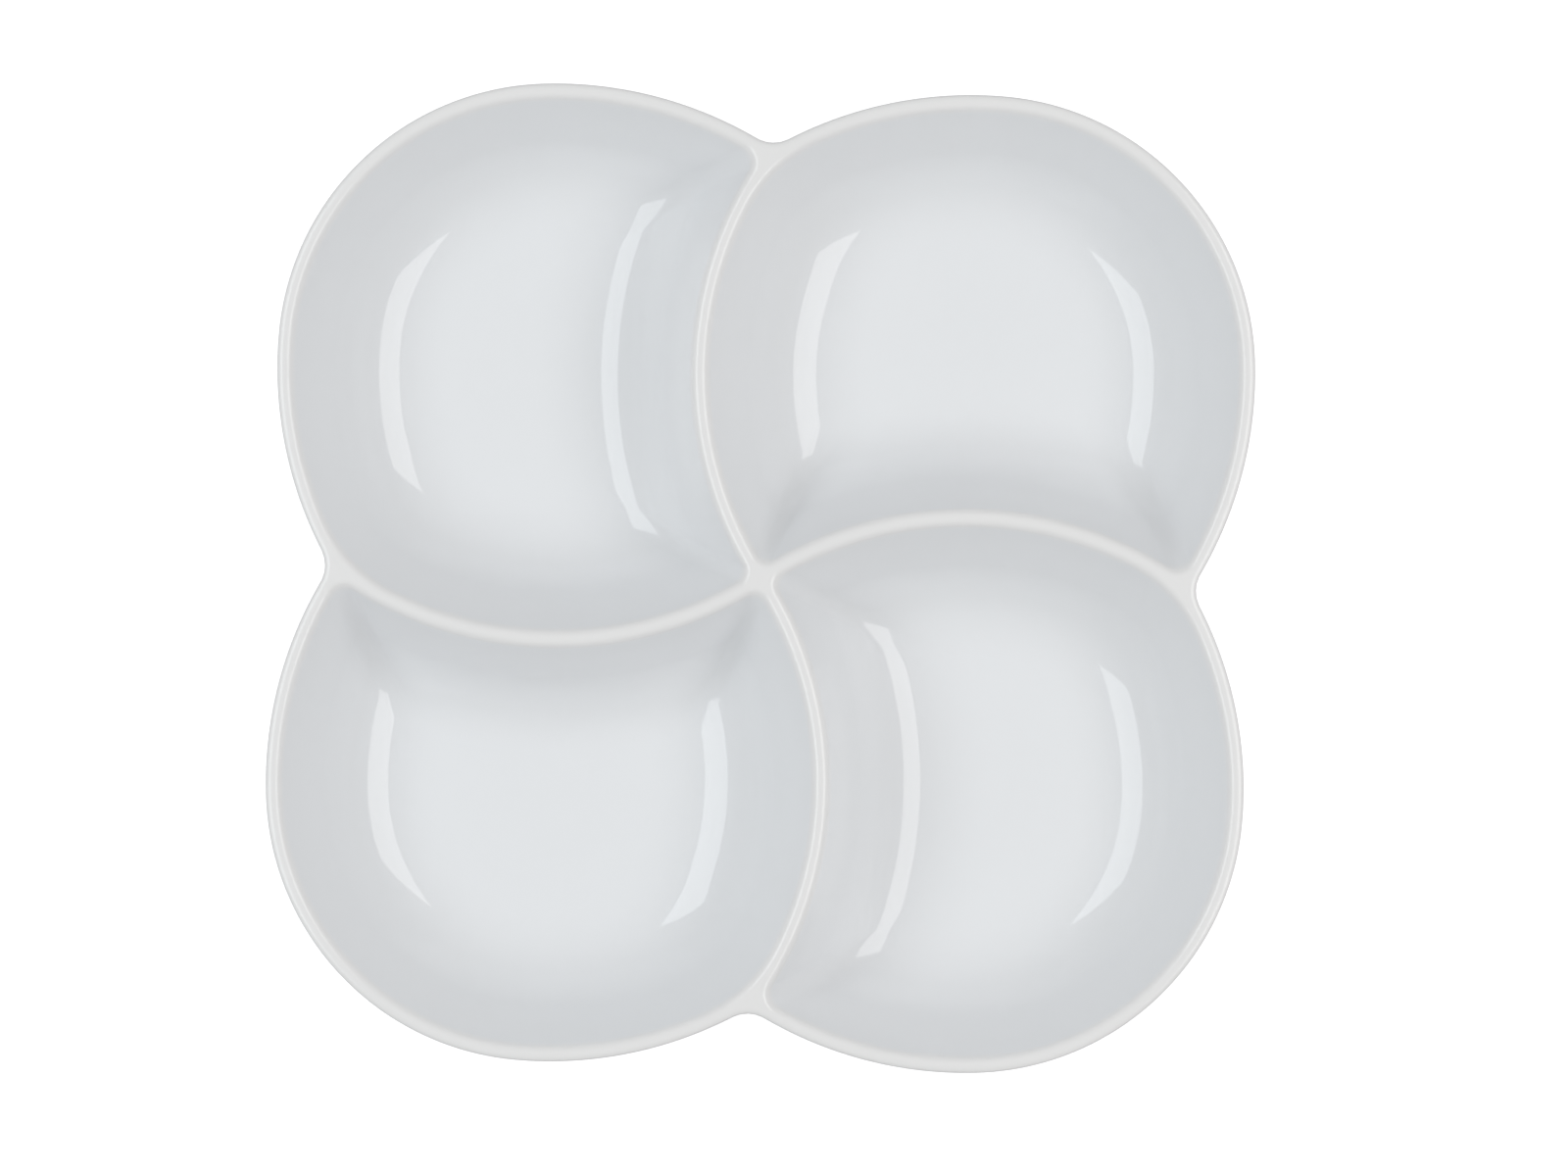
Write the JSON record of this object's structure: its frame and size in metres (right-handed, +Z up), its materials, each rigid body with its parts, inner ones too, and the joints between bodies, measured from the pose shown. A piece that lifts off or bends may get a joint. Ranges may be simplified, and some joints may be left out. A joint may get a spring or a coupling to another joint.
{
  "type": "divided serving bowl",
  "caption": "Round-lobed divided serving bowl in glazed white porcelain, with curved dividers that part its wells in a pinwheel.",
  "frame": {"origin": "middle of the dish, on the plane that its foot rings stand on", "axes": "+Z up out of the wells, +Y to the back and +X to the right, with the notches between the lobes on the X and Y axes"},
  "size_m": [0.28, 0.28, 0.045],
  "materials": {
    "glaze": "smooth clear gloss glaze over white porcelain",
    "bare_foot": "matt unglazed fired porcelain"
  },
  "bodies": {
    "root": {"bowl_back_right": "glaze", "bowl_back_left": "glaze", "bowl_front_left": "glaze", "bowl_front_right": "glaze", "divider_back": "glaze", "divider_left": "glaze", "divider_front": "glaze", "divider_right": "glaze", "rim_web_back": "glaze", "rim_web_left": "glaze", "rim_web_front": "glaze", "rim_web_right": "glaze", "centre_web": "glaze", "foot_ring_back_right": "bare_foot", "foot_ring_back_left": "bare_foot", "foot_ring_front_left": "bare_foot", "foot_ring_front_right": "bare_foot"}
  },
  "joints": []
}
